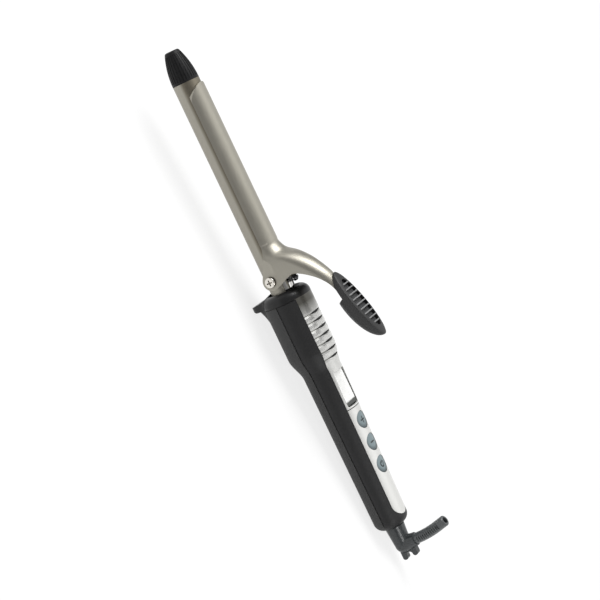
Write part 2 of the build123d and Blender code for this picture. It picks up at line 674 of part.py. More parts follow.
def biarc(turn0, turn1):
    """Two arcs that meet smoothly, from one point of the coil to another."""
    start, end = coil_point(turn0), coil_point(turn1)
    go, arrive = coil_heading(turn0), coil_heading(turn1)
    chord = end - start
    along = chord.dot(go + arrive)
    bend = 2 * (1 - go.dot(arrive))
    reach = (math.sqrt(along ** 2 + bend * chord.dot(chord)) - along) / bend
    middle = (start + end + (go - arrive) * reach) * 0.5
    turn_heading = (end - arrive * reach) - (start + go * reach)
    return [Edge.make_tangent_arc(start, go, middle), Edge.make_tangent_arc(middle, turn_heading, end)]


def return_spring():
    last = SPRING_TURNS + SPRING_LIFT_ANGLE / 360
    steps = [i / 4 for i in range(4 * SPRING_TURNS + 1)] + [last]
    tail_end = spring_tail()
    lift_end = coil_point(last) + coil_heading(last) * SPRING_LIFT_LENGTH
    edges = [Edge.make_line(tail_end, coil_point(0))]
    for turn0, turn1 in zip(steps, steps[1:]):
        edges += biarc(turn0, turn1)
    edges.append(Edge.make_line(coil_point(last), lift_end))
    path = Wire(edges)
    section = Plane(origin=path @ 0, z_dir=path % 0) * Circle(SPRING_WIRE / 2)
    return sweep(section, path=path)


def spring_self_gap():
    """Least gap between neighbouring turns, measured on points of the coil."""
    turns = [i / 60 for i in range(60 * SPRING_TURNS + 1)]
    points = [coil_point(turn) for turn in turns]
    gaps = []
    for i, point in enumerate(points):
        gaps += [(other - point).length for other in points[i + 30:]]
    return min(gaps) - SPRING_WIRE


def spring_half_length():
    """Half the space that the coil needs along its pin."""
    return SPRING_PITCH * SPRING_TURNS / 2 + SPRING_WIRE + SPRING_CHEEK_GAP


def spring_bracket():
    """Saddle beside the neck's crown with one narrow cheek that holds the spring's pin."""
    x = PIVOT_X + SPRING_FROM_PIVOT
    half_length = SPRING_BASE_LENGTH / 2
    half_cheek = SPRING_CHEEK_WIDTH / 2
    inner = spring_half_length()
    outer = inner + SPRING_CHEEK
    foot = BRACKET_TROUGH_TOP + FIT_GAP
    top = SPRING_HEIGHT - SPRING_MEAN_RADIUS - SPRING_WIRE / 2 - SPRING_CHEEK_GAP
    solid = block(x - half_length, x + half_length, SPRING_CHEEK, outer, foot, top)
    solid += block(x - half_cheek, x + half_cheek, inner, outer, foot, SPRING_HEIGHT)
    solid += along_y(half_cheek, inner, outer, x, SPRING_HEIGHT)
    solid -= along_x(NECK_RADIUS + FIT_GAP, -FAR, FAR)
    return solid - along_y(SPRING_PIN_DIAMETER / 2 + FIT_GAP, -FAR, FAR, x, SPRING_HEIGHT)


def spring_pin():
    """Pin that stands out of the cheek through the coil."""
    near = -spring_half_length()
    far = spring_half_length() + SPRING_CHEEK
    return along_y(SPRING_PIN_DIAMETER / 2, near, far, PIVOT_X + SPRING_FROM_PIVOT, SPRING_HEIGHT)


def stand_section(x, share, inset=0.0):
    """Lower half of the handle's section with a share of the stand's depth hanging below its middle."""
    half_width, _, bottom = handle_radii(x)
    reach = STAND_DEPTH + STAND_EXTRA + SEAM_Z - bottom
    wide = half_width - inset
    points = []
    for i in range(2 * STAND_POINTS + 1):
        turn = math.pi * i / (2 * STAND_POINTS)
        y = -wide * math.cos(turn)
        hang = 1 - smooth(abs(y), STAND_FOOT_HALF_WIDTH, STAND_ROOT_HALF_WIDTH)
        points.append((y, SEAM_Z - (bottom - inset) * math.sin(turn) - share * reach * hang))
    outline = Spline(*points, tangents=((0, -1), (0, 1)))
    return Plane.YZ.offset(x) * make_face([outline, Line(points[-1], points[0])])


def stand_heel_z():
    """Height of the stand's back edge where it meets the shell."""
    return -STAND_DEPTH + STAND_TOE_HEIGHT


def collar_stand():
    half_width, top, bottom = handle_radii(SHELL_FRONT_X)
    upper = EllipticalCenterArc((0, SEAM_Z), half_width, top, start_angle=0, arc_size=180)
    lower = EllipticalCenterArc((0, SEAM_Z), half_width, bottom, start_angle=180, arc_size=180)
    solid = extrude(Plane.YZ.offset(COLLAR_FRONT_X) * make_face([upper, lower]), COLLAR_LENGTH)
    solid = fillet(solid.edges().group_by(Axis.X)[0], COLLAR_ROUND)
    toe_x = STAND_FOOT_X - STAND_FOOT_LENGTH / 2
    heel_x = STAND_FOOT_X + STAND_FOOT_LENGTH / 2
    root_x = COLLAR_FRONT_X - STAND_ROOT_REACH
    knee = (toe_x - STAND_FOOT_LENGTH / 3, stand_heel_z())
    toe = (toe_x, -STAND_DEPTH - STAND_EXTRA)
    waist = (COLLAR_FRONT_X + STAND_WAIST_SET, (stand_heel_z() - STAND_ROOT_DEPTH) / 2)
    nose = Spline((root_x, -STAND_ROOT_DEPTH), waist, knee, toe)
    back = Polyline(nose @ 1, (heel_x, -STAND_DEPTH - STAND_EXTRA), (heel_x, -STAND_DEPTH),
                    (SHELL_FRONT_X, stand_heel_z()), (SHELL_FRONT_X, -STAND_ROOT_DEPTH), nose @ 0)
    reach = SHELL_FRONT_X - root_x
    hanging = extrude(stand_section(SHELL_FRONT_X, 1.0, FAIRING_INSET), -reach)
    plan = Plane.XY.offset(-FAR) * Pos(SHELL_FRONT_X, 0) * Ellipse(reach, STAND_ROOT_SPREAD)
    solid += slab(make_face([nose, back]), half_width) & hanging & extrude(plan, FAR)
    front_x = COLLAR_FRONT_X
    floor_x = COLLAR_FRONT_X + COLLAR_DISH_DEPTH
    wall = [(front_x, COLLAR_DISH_RADIUS), (floor_x, COLLAR_FLOOR_RADIUS)]
    dish = Polyline((front_x, 0), *wall, (floor_x, 0), close=True)
    solid -= turned(make_face(dish))
    solid -= along_x(NECK_RADIUS + FIT_GAP, -FAR, FAR)
    tail = spring_tail()
    solid -= along_x(SPRING_WIRE, COLLAR_FRONT_X, tail.X + SPRING_WIRE, tail.Y, tail.Z)
    return solid - UNDER_TABLE


def bush_ribs(side):
    """Two ribs in a shell that hold the neck bush on both sides of its flange."""
    x0 = SHELL_FRONT_X + BUSH_FROM_COLLAR
    middle = x0 + BUSH_LENGTH / 2
    gap = BUSH_FLANGE_WIDTH / 2 + FIT_GAP
    inside = handle_half(side, HANDLE_WALL - SEAT_GAP)
    ribs = inside & block(middle - gap - RIB_WALL, middle - gap, -FAR, FAR, -FAR, FAR)
    ribs += inside & block(middle + gap, middle + gap + RIB_WALL, -FAR, FAR, -FAR, FAR)
    return ribs - along_x(NECK_RADIUS + 2 * FIT_GAP + BUSH_WALL, -FAR, FAR)


def panel_outline(grow):
    """Plan outline of the silver panels: wide at the grip, narrower from the step, round at the end."""
    grip = PANEL_GRIP_HALF_WIDTH + grow
    waist = PANEL_WAIST_HALF_WIDTH + grow
    tail = PANEL_TAIL_HALF_WIDTH + grow
    end_x = SHELL_FRONT_X + PANEL_LENGTH + grow
    corners = [(SHELL_FRONT_X, grip), (STEP_START_X, grip), (STEP_END_X, waist), (end_x - tail, tail)]
    side = FilletPolyline(*corners, radius=PANEL_CORNER_ROUND)
    cap = ThreePointArc(side @ 1, (end_x, 0), (end_x - tail, -tail))
    other = mirror(side, Plane.XZ)
    return make_face([side, cap, other, Line((SHELL_FRONT_X, -grip), (SHELL_FRONT_X, grip))])


def panel_prism(grow):
    return extrude(Plane.XY.offset(SEAM_Z) * panel_outline(grow), GRIP_TOP * 2)


def window_prism(half_width, half_length, corner, z0, z1):
    outline = RectangleRounded(2 * half_length, 2 * half_width, corner)
    return extrude(Plane(origin=(WINDOW_X, 0, z0)) * outline, z1 - z0)


def window_hole():
    return window_prism(WINDOW_HALF_WIDTH, WINDOW_LENGTH / 2, WINDOW_CORNER, BOARD_TOP_Z, FAR)


def button_holes():
    radius = BUTTON_DIAMETER / 2 + EDGE_GAP
    return [along_z(radius, SEAM_Z, FAR, x) for x in BUTTON_XS]


def groove(x):
    """Cutter for one cross groove: a shallow V along the panel's curve and a lens-shaped slot."""
    half = GROOVE_WIDTH / 2
    edge = half_oval(x - half, 1, -GROOVE_LIP, CUT_REACH)
    valley = half_oval(x, 1, GROOVE_DEPTH, CUT_REACH)
    other_edge = half_oval(x + half, 1, -GROOVE_LIP, CUT_REACH)
    left_inside = loft([edge, valley]) + loft([valley, other_edge])
    trough = block(x - half, x + half, -FAR, FAR, SEAM_Z, FAR) - left_inside
    ends = [(x, -SLOT_LENGTH / 2), (x, SLOT_LENGTH / 2)]
    front = ThreePointArc(ends[0], (x - SLOT_WIDTH / 2, 0), ends[1])
    back = ThreePointArc(ends[1], (x + SLOT_WIDTH / 2, 0), ends[0])
    return [trough, extrude(make_face([front, back]), FAR)]


def panels():
    """Grip panel and button panel, cut from the shell's outer skin."""
    skin = (rounded_half(1) - handle_core(1, PANEL_THICKNESS)) & panel_prism(0.0)
    split_x = SHELL_FRONT_X + PANEL_SPLIT_FROM_COLLAR
    grip = skin & block(-FAR, split_x - PANEL_SPLIT_GAP / 2, -FAR, FAR, -FAR, FAR)
    keys = skin & block(split_x + PANEL_SPLIT_GAP / 2, FAR, -FAR, FAR, -FAR, FAR)
    for i in range(GROOVE_COUNT):
        grip -= groove(SHELL_FRONT_X + GROOVE_FROM_COLLAR + GROOVE_PITCH * i)
    grip -= window_hole()
    for hole in button_holes():
        keys -= hole
    return grip, keys


def swivel_hole():
    return along_x(SPIGOT_DIAMETER / 2 + RUNNING_GAP, FLANGE_BACK_X, FAR, 0, SEAM_Z)


def edge_grooves(side):
    """Cutter for the shadow lines of one shell, along the seam and against the collar."""
    ends = sorted((SEAM_Z, SEAM_Z + side * SEAM_GROOVE_WIDTH / 2))
    band = block(-FAR, FAR, -FAR, FAR, *ends)
    band += block(SHELL_FRONT_X - CUT_REACH, SHELL_FRONT_X + COLLAR_GROOVE_WIDTH, -FAR, FAR, -FAR, FAR)
    return band - handle_core(side, SEAM_GROOVE_DEPTH)


def front_shell():
    """Upper shell: a recessed deck for the panels, bosses, board posts and ribs for the neck bush."""
    inner_end_x = HANDLE_END_X - HANDLE_END_WALL
    solid = rounded_half(1) - handle_core(1, HANDLE_WALL, inner_end_x) - edge_grooves(1)
    deck = handle_core(1, HANDLE_WALL - SEAT_GAP, inner_end_x)
    for x in SHELL_SCREW_XS:
        solid += along_z(SHELL_BOSS_DIAMETER / 2, SEAM_Z, FAR, x) & deck
    for x in POST_XS:
        solid += along_z(BOARD_POST_DIAMETER / 2, BOARD_TOP_Z, FAR, x) & deck
    solid += bush_ribs(1)
    solid -= panel_prism(EDGE_GAP) - handle_core(1, PANEL_THICKNESS + SEAT_GAP)
    solid -= window_hole()
    for hole in button_holes():
        solid -= hole
    for x in SHELL_SCREW_XS:
        solid -= along_z(SHELL_SCREW_DIAMETER / 2, SEAM_Z, SEAM_Z + SHELL_SCREW_BITE + FIT_GAP, x)
    for x in POST_XS:
        solid -= along_z(BOARD_SCREW_DIAMETER / 2, BOARD_TOP_Z, BOARD_TOP_Z + BOARD_SCREW_LENGTH, x)
    return solid - swivel_hole()


def stand_fairing():
    """Flare of the back shell that runs out of the stand."""
    _, _, bottom = handle_radii(SHELL_FRONT_X)
    start_share = (bottom - SEAM_Z + stand_heel_z()) / (bottom - SEAM_Z - STAND_DEPTH - STAND_EXTRA)
    sections = []
    for i in range(FAIRING_SECTIONS + 1):
        t = i / FAIRING_SECTIONS
        x = SHELL_FRONT_X + FAIRING_LENGTH * t
        sections.append(stand_section(x, start_share * (1 - t) ** 2, FAIRING_INSET))
    return loft(sections) - handle_core(-1, HANDLE_WALL / 2)


def shell_screw_top(x):
    """Height of the screw head's seat in the back shell."""
    return SEAM_Z - handle_radii(x)[2] + SHELL_SCREW_SINK + SHELL_SCREW_HEAD_HEIGHT


def back_shell():
    """Lower shell: screw bosses with sunk heads, ribs for the neck bush, the web behind the stand."""
    inner_end_x = HANDLE_END_X - HANDLE_END_WALL
    solid = rounded_half(-1) - handle_core(-1, HANDLE_WALL, inner_end_x) - edge_grooves(-1)
    inside = handle_core(-1, HANDLE_WALL - SEAT_GAP, inner_end_x)
    for x in SHELL_SCREW_XS:
        seat_radius = SHELL_SCREW_HEAD / 2 + EDGE_GAP + SHELL_SCREW_SEAT_WALL
        solid += along_z(seat_radius, -FAR, shell_screw_top(x) + SHELL_SCREW_SEAT_WALL, x) & inside
        solid += along_z(SHELL_BOSS_DIAMETER / 2, -FAR, SEAM_Z, x) & inside
    solid += bush_ribs(-1) + stand_fairing()
    for x in SHELL_SCREW_XS:
        solid -= along_z(SHELL_SCREW_DIAMETER / 2 + FIT_GAP, -FAR, SEAM_Z, x)
        solid -= along_z(SHELL_SCREW_HEAD / 2 + EDGE_GAP, -FAR, shell_screw_top(x), x)
    return solid - swivel_hole() - UNDER_TABLE


def shell_screw(x):
    """Countersunk screws would spread the boss, so the heads are flat underneath."""
    seat = shell_screw_top(x)
    head = along_z(SHELL_SCREW_HEAD / 2, seat - SHELL_SCREW_HEAD_HEIGHT, seat, x)
    slot = SCREW_CROSS_WIDTH / 2
    arm = SHELL_SCREW_HEAD / 3
    low = seat - SHELL_SCREW_HEAD_HEIGHT
    head -= block(x - arm, x + arm, -slot, slot, low, low + SCREW_CROSS_DEPTH)
    head -= block(x - slot, x + slot, -arm, arm, low, low + SCREW_CROSS_DEPTH)
    return head + along_z(SHELL_SCREW_DIAMETER / 2 - FIT_GAP, seat, SEAM_Z + SHELL_SCREW_BITE, x)


def display_frame():
    """Frame under the lens that holds the display glass and its light on the board."""
    half_width = WINDOW_HALF_WIDTH - EDGE_GAP
    half_length = WINDOW_LENGTH / 2 - EDGE_GAP
    solid = window_prism(half_width, half_length, WINDOW_CORNER, BOARD_TOP_Z, LENS_BOTTOM_Z)
    return solid - window_prism(half_width - FRAME_WALL, half_length - FRAME_WALL, WINDOW_CORNER / 2, 0, FAR)


def display_lens():
    half_width = WINDOW_HALF_WIDTH - EDGE_GAP
    half_length = WINDOW_LENGTH / 2 - EDGE_GAP
    lens = window_prism(half_width, half_length, WINDOW_CORNER, LENS_BOTTOM_Z, LENS_TOP_Z)
    return chamfer(lens.edges().group_by(Axis.Z)[-1], LENS_THICKNESS / 6)


def under_lens(z0, z1):
    """Block that fills the display frame below the lens."""
    shrink = EDGE_GAP + FRAME_WALL + FIT_GAP
    half_width = WINDOW_HALF_WIDTH - shrink
    half_length = WINDOW_LENGTH / 2 - shrink
    return window_prism(half_width, half_length, WINDOW_CORNER / 2, z0, z1)


def lcd_glass():
    return under_lens(LENS_BOTTOM_Z - GLASS_THICKNESS, LENS_BOTTOM_Z)


def backlight_block():
    return under_lens(BOARD_TOP_Z, LENS_BOTTOM_Z - GLASS_THICKNESS)


def symbol_cuts(name, x):
    """Engraved plus, minus or standby mark, as prisms through the button's top."""
    half = SYMBOL_LENGTH / 2
    thin = SYMBOL_WIDTH / 2
    bar_along = block(x - thin, x + thin, -half, half, SEAM_Z, FAR)
    if name == "minus":
        return bar_along
    bar_across = block(x - half, x + half, -thin, thin, SEAM_Z, FAR)
    if name == "plus":
        return bar_along + bar_across
    ring = along_z(half, SEAM_Z, FAR, x) - along_z(half - SYMBOL_WIDTH, SEAM_Z, FAR, x)
    ring -= block(x - FAR, x, -SYMBOL_WIDTH, SYMBOL_WIDTH, SEAM_Z, FAR)
    return ring + block(x - half, x, -thin, thin, SEAM_Z, FAR)


def button(name, x):
    """Round cap that follows the panel, a retaining flange under the deck and a stem to the switch."""
    under_z = BUTTON_FLANGE_TOP_Z - BUTTON_FLANGE_THICKNESS
    cap = along_z(BUTTON_DIAMETER / 2, under_z, FAR, x) & handle_half(1, BUTTON_RECESS)
    cap -= symbol_cuts(name, x) - handle_core(1, BUTTON_RECESS + SYMBOL_DEPTH)
    flange = along_z(BUTTON_FLANGE_DIAMETER / 2, under_z, BUTTON_FLANGE_TOP_Z, x)
    return cap + flange + along_z(BUTTON_STEM_DIAMETER / 2, PLUNGER_TOP_Z, under_z, x)


def plunger(x):
    switch_top = BOARD_TOP_Z + SWITCH_HEIGHT
    return along_z(PLUNGER_DIAMETER / 2, switch_top - PLUNGER_DEPTH, PLUNGER_TOP_Z, x)


def switch_housing(x):
    half = SWITCH_SIZE / 2
    switch_top = BOARD_TOP_Z + SWITCH_HEIGHT
    body = block(x - half, x + half, -half, half, BOARD_TOP_Z, switch_top)
    well = switch_top - PLUNGER_DEPTH - BUTTON_TRAVEL - EDGE_GAP
    return body - along_z(PLUNGER_DIAMETER / 2 + RUNNING_GAP, well, switch_top, x)


def control_board():
    wide = BOARD_HALF_WIDTH
    board = block(BOARD_FRONT_X, BOARD_BACK_X, -wide, wide, BOARD_BOTTOM_Z, BOARD_TOP_Z)
    for x in POST_XS:
        board -= along_z(BOARD_SCREW_DIAMETER / 2 + FIT_GAP, -FAR, FAR, x)
    return board


def board_screw(x):
    head_height = BOARD_SCREW_HEAD / 3
    head = along_z(BOARD_SCREW_HEAD / 2, BOARD_BOTTOM_Z - head_height, BOARD_BOTTOM_Z, x)
    head = fillet(head.edges().group_by(Axis.Z)[0], head_height / 3)
    slot = SCREW_CROSS_WIDTH / 3
    arm = BOARD_SCREW_HEAD / 4
    low = BOARD_BOTTOM_Z - head_height
    head -= block(x - arm, x + arm, -slot, slot, low, low + head_height / 2)
    head -= block(x - slot, x + slot, -arm, arm, low, low + head_height / 2)
    shank_top = BOARD_TOP_Z + BOARD_SCREW_LENGTH - FIT_GAP
    return head + along_z(BOARD_SCREW_DIAMETER / 2 - FIT_GAP, BOARD_BOTTOM_Z, shank_top, x)


def under_board(from_collar, size):
    length, width, height = size
    x0 = SHELL_FRONT_X + from_collar
    return block(x0, x0 + length, -width / 2, width / 2, BOARD_BOTTOM_Z - height, BOARD_BOTTOM_Z)


def triac():
    """Power switch lying flat under the board, with its metal tab."""
    length, width, height = TRIAC_SIZE
    body = under_board(TRIAC_FROM_COLLAR, TRIAC_SIZE)
    tab = under_board(TRIAC_FROM_COLLAR + length, (length / 2, width, height / 4))
    return body + tab - along_z(width / 6, -FAR, FAR, SHELL_FRONT_X + TRIAC_FROM_COLLAR + length * 5 / 4)


def filter_capacitor():
    body = under_board(CAPACITOR_FROM_COLLAR, CAPACITOR_SIZE)
    return fillet(body.edges().filter_by(Axis.Z), CAPACITOR_SIZE[1] / 8)


def lead(points):
    path = FilletPolyline(*points, radius=LEAD_BEND)
    return sweep(Plane(origin=path @ 0, z_dir=path % 0) * Circle(LEAD_DIAMETER / 2), path=path)


def heater_lead(side):
    """From the heater plate through the neck tube to the board's underside."""
    board_z = BOARD_BOTTOM_Z - LEAD_DIAMETER / 2 - FIT_GAP
    near = side * LEAD_HEATER_SIDE
    out = side * LEAD_SIDE
    in_barrel = [(HEATER_BACK_X, near, 0), (HEATER_BACK_X + LEAD_BEND, near, 0)]
    in_neck = [(NECK_FRONT_X - LEAD_BEND, out, 0), (NECK_BACK_X, out, 0)]
    at_board = [(BOARD_FRONT_X + shift, out, board_z) for shift in (-LEAD_ON_BOARD, LEAD_ON_BOARD)]
    return lead(in_barrel + in_neck + at_board)


def mains_lead(side):
    """From the contact springs' feet to the board's underside."""
    board_z = BOARD_BOTTOM_Z - LEAD_DIAMETER / 2 - FIT_GAP
    foot_z = BRUSH_BLOCK_TOP_Z + BRUSH_THICKNESS + LEAD_DIAMETER / 2 + FIT_GAP
    y = side * MAINS_LEAD_SIDE
    ring_x0 = RING_XS[0] if side < 0 else RING_XS[1]
    return lead([(ring_x0 + RING_WIDTH, y, foot_z), (CORE_FRONT_X - LEAD_BEND / 2, y, foot_z),
                 (BOARD_BACK_X + LEAD_ON_BOARD / 2, y, board_z), (BOARD_BACK_X - LEAD_ON_BOARD, y, board_z)])


def brush_block():
    """Insulating seat for the contact springs on the back shell's floor."""
    x0 = CORE_FRONT_X
    half = BRUSH_HALF_SPAN + BRUSH_THICKNESS
    space = handle_core(-1, HANDLE_WALL + SEAT_GAP)
    return block(x0, x0 + BRUSH_BLOCK_LENGTH, -half, half, -FAR, BRUSH_BLOCK_TOP_Z) & space


def contact_spring(x0):
    """Bent strip that stands on the brush block and presses on a slip ring."""
    low = BRUSH_BLOCK_TOP_Z
    high = SEAM_Z - RING_RADIUS - FIT_GAP - BRUSH_THICKNESS
    knee = BRUSH_HALF_SPAN / 2
    under = [(-BRUSH_HALF_SPAN, low), (-knee, low), (0, high), (knee, low), (BRUSH_HALF_SPAN, low)]
    upper = [(y, z + BRUSH_THICKNESS) for y, z in reversed(under)]
    return extrude(Plane.YZ.offset(x0) * make_face(Polyline(*under, *upper, close=True)), RING_WIDTH)


def slip_ring(x0):
    return ring_x(RING_RADIUS, SWIVEL_CORE_DIAMETER / 2 + FIT_GAP, x0, x0 + RING_WIDTH, SEAM_Z)


def elbow_axis():
    """Plane at the elbow's corner whose normal runs up the cord boot."""
    lean = math.radians(ELBOW_LEAN)
    return Plane(origin=(ELBOW_X, 0, SEAM_Z), x_dir=(0, 1, 0), z_dir=(-math.sin(lean), 0, math.cos(lean)))


def sleeve(grow):
    """Leaning sleeve from the elbow's corner to the boot."""
    axis = elbow_axis()
    root = axis * Circle(NECK_TIP_DIAMETER / 2 + grow)
    return loft([root, axis.offset(SLEEVE_LENGTH) * Circle(SLEEVE_TIP_DIAMETER / 2 + grow)])


def elbow_web():
    """Swept bend that rounds the elbow's inside corner."""
    turn = 90 + ELBOW_LEAN
    start_x = ELBOW_X - ELBOW_BEND * math.tan(math.radians(turn / 2))
    path = Plane.XZ * JernArc((start_x, SEAM_Z), (1, 0), ELBOW_BEND, turn)
    return sweep(Plane.YZ.offset(start_x) * Pos(0, SEAM_Z) * Circle(SLEEVE_TIP_DIAMETER / 2), path=path)


def swivel_neck():
    """Core for the slip rings, retaining flange, spigot, tapered neck and leaning sleeve."""
    base_x = HANDLE_END_X + SWIVEL_END_GAP
    solid = along_x(SWIVEL_CORE_DIAMETER / 2, CORE_FRONT_X, FLANGE_FRONT_X, 0, SEAM_Z)
    solid += along_x(SWIVEL_FLANGE_DIAMETER / 2, FLANGE_FRONT_X, FLANGE_BACK_X, 0, SEAM_Z)
    solid += along_x(SPIGOT_DIAMETER / 2, FLANGE_BACK_X, base_x, 0, SEAM_Z)
    solid += cone_x(NECK_BASE_DIAMETER / 2, NECK_TIP_DIAMETER / 2, base_x, ELBOW_X, SEAM_Z)
    solid += Pos(ELBOW_X, 0, SEAM_Z) * Sphere(NECK_TIP_DIAMETER / 2)
    solid += sleeve(0.0) + elbow_web()
    solid -= extrude(elbow_axis() * Circle(CORD_BORE_DIAMETER / 2), SLEEVE_LENGTH)
    return solid - along_x(CORD_BORE_DIAMETER / 2, CORE_FRONT_X, ELBOW_X, 0, SEAM_Z)


def boot_path():
    """Straight foot, gentle bend towards the handle, straight mouth."""
    lean = math.radians(ELBOW_LEAN)
    foot = elbow_axis().offset(SLEEVE_LENGTH).origin
    heading = Vector(-math.sin(lean), math.cos(lean))
    start = Vector(foot.X, foot.Z)
    bend_start = start + heading * BOOT_STRAIGHT
    radius = BOOT_ARC_LENGTH / math.radians(BOOT_BEND)
    bend = JernArc(bend_start, heading, radius, BOOT_BEND)
    mouth = Line(bend @ 1, (bend @ 1) + (bend % 1) * BOOT_MOUTH_LENGTH)
    return Plane.XZ * Wire([Line(start, bend_start).edge(), bend.edge(), mouth.edge()])


def cord_boot():
    """Strain relief with slots on both flanks, a smooth spine and the cord's bore."""
    path = boot_path()
    foot = Plane(origin=path @ 0, x_dir=(0, 1, 0), z_dir=path % 0)
    solid = sweep(foot * Circle(BOOT_DIAMETER / 2), path=path)
    solid = fillet(solid.faces().sort_by_distance(path @ 1)[0].edges(), BOOT_RIM_ROUND)
    middle = BOOT_DIAMETER - BOOT_SLOT_DEPTH
    for i in range(BOOT_RIB_COUNT):
        share = (BOOT_STRAIGHT + BOOT_RIB_PITCH * i) / path.length
        place = Plane(origin=path @ share, x_dir=(0, 1, 0), z_dir=path % share)
        for side in (-1, 1):
            solid -= place * Pos(side * middle, 0, 0) * Box(BOOT_DIAMETER, BOOT_SLOT_LENGTH, BOOT_SLOT)
    return solid - sweep(foot * Circle(CORD_BORE_DIAMETER / 2), path=path)


def hang_hook():
    """Flat forked plate behind the elbow: two lobes and an open notch for a wall hook."""
    end_x = HANDLE_END_X + HOOK_REACH
    low = SEAM_Z + HOOK_LOW
    high = SEAM_Z + HOOK_HIGH
    middle = (low + high) / 2
    notch = HOOK_NOTCH_WIDTH / 2
    root_x = end_x - HOOK_NOTCH_DEPTH + notch
    outline = Polyline((ELBOW_X, low), (end_x, low), (end_x - HOOK_SLANT, high), (ELBOW_X, high), close=True)
    plate = slab(make_face(outline), HOOK_THICKNESS / 2)
    plate -= block(root_x, FAR, -HOOK_THICKNESS, HOOK_THICKNESS, middle - notch, middle + notch)
    plate -= along_y(notch, -HOOK_THICKNESS, HOOK_THICKNESS, root_x, middle)
    tips = [edge for edge in plate.edges().filter_by(Axis.Y) if edge.center().X > root_x + EDGE_GAP]
    plate = fillet(tips, HOOK_ROUND)
    return plate - sleeve(FIT_GAP) - Pos(ELBOW_X, 0, SEAM_Z) * Sphere(NECK_TIP_DIAMETER / 2 + FIT_GAP)


def main():
    grip_panel, button_panel = panels()
    pieces = {
        "barrel_tube": [barrel_tube()],
        "cool_tip": [cool_tip()],
        "heater_plate": [heater_plate()],
        "upper_heat_spreader": [heat_spreader(1)],
        "lower_heat_spreader": [heat_spreader(-1)],
        "temperature_sensor": [temperature_sensor()],
        "neck_tube": [neck_tube()],
        "hinge_bracket": [hinge_bracket()],
        "neck_bush": [neck_bush()],
        "pivot_screws": [pivot_screw(1), pivot_screw(-1)],
        "clamp": [clamp()],
        "thumb_rest": [thumb_rest()],
        "return_spring": [return_spring()],
        "spring_bracket": [spring_bracket()],
        "spring_pin": [spring_pin()],
        "collar_stand": [collar_stand()],
        "front_shell": [front_shell()],
        "back_shell": [back_shell()],
        "shell_screws": [shell_screw(x) for x in SHELL_SCREW_XS],
        "grip_panel": [grip_panel],
        "button_panel": [button_panel],
        "display_frame": [display_frame()],
        "display_lens": [display_lens()],
        "lcd_glass": [lcd_glass()],
        "backlight_block": [backlight_block()],
        "control_board": [control_board()],
        "board_screws": [board_screw(x) for x in POST_XS],
        "switch_housings": [switch_housing(x) for x in BUTTON_XS],
        "triac": [triac()],
        "filter_capacitor": [filter_capacitor()],
        "heater_leads": [heater_lead(1), heater_lead(-1)],
        "mains_leads": [mains_lead(1), mains_lead(-1)],
        "brush_block": [brush_block()],
        "contact_springs": [contact_spring(x) for x in RING_XS],
        "swivel_neck": [swivel_neck()],
        "slip_rings": [slip_ring(x) for x in RING_XS],
        "cord_boot": [cord_boot()],
        "hang_hook": [hang_hook()],
    }
    for name, x in zip(("plus", "minus", "power"), BUTTON_XS):
        pieces[f"{name}_button"] = [button(name, x)]
        pieces[f"{name}_plunger"] = [plunger(x)]
    os.makedirs("parts", exist_ok=True)
    for name, solids in pieces.items():
        placed = [solid for piece in solids for solid in (PLACE * piece).solids()]
        export_step(placed[0] if len(placed) == 1 else Compound(placed), f"parts/{name}.step")
    print("spring turn gap", round(spring_self_gap(), 3))


if __name__ == "__main__":
    main()
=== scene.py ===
import math

import bpy
from mathutils import Matrix, Vector


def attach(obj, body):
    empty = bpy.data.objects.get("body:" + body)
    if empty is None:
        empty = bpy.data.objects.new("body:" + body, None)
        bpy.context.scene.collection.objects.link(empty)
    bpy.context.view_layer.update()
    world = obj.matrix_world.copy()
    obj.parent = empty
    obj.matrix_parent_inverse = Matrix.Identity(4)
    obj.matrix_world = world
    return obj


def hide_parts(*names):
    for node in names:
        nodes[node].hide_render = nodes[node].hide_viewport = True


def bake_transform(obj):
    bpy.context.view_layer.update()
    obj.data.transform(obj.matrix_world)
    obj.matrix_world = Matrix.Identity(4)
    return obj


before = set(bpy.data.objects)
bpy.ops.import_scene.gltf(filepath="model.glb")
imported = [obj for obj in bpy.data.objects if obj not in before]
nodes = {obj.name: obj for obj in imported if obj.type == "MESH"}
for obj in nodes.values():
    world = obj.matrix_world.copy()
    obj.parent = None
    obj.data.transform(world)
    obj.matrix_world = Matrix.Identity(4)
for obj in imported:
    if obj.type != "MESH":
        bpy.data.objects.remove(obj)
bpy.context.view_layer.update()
scene = bpy.context.scene
scene.view_settings.view_transform = "Standard"

# Lengths are in metres and angles in degrees, unless a line says otherwise.
# The part was drawn along the tool's own axes and then laid on its stand. PLACE takes those axes to
# the table's. X runs from tip to tail, and the photograph shows the -Y side.
TABLE_ANGLE = 4.28052
STAND_FOOT_X = 0.001
STAND_DEPTH = 0.0258
LAID = Matrix.Rotation(math.radians(TABLE_ANGLE), 4, "Y")
PLACE = LAID @ Matrix.Translation((-STAND_FOOT_X, 0, STAND_DEPTH))
ALONG_TOOL = (1, 0, 0)
ACROSS_TOOL = (0, 1, 0)
ABOVE_TOOL = (0, 0, 1)

# Camera, fitted to the photograph's outline
CAMERA_SIDE = 7.5
CAMERA_RISE = 30.0
CAMERA_ROLL = 68.39
CAMERA_DISTANCE = 1.3
CAMERA_REACH = 20
CAMERA_TARGET = Vector((0.00678, 0, 0.0075))
FOCAL_PIXELS = 1934.56
PICTURE_PIXELS = 600
SENSOR_MILLIMETRES = 36.0

# Fine noise in every material: the part of its range that varies the colour, and its relief's depth
NOISE_DETAIL = 4.0
NOISE_LOW = 0.3
NOISE_HIGH = 0.7
RELIEF_DEPTH = 0.0005
EVEN = (1, 1, 1)
BRUSHED = (0.15, 1, 1)

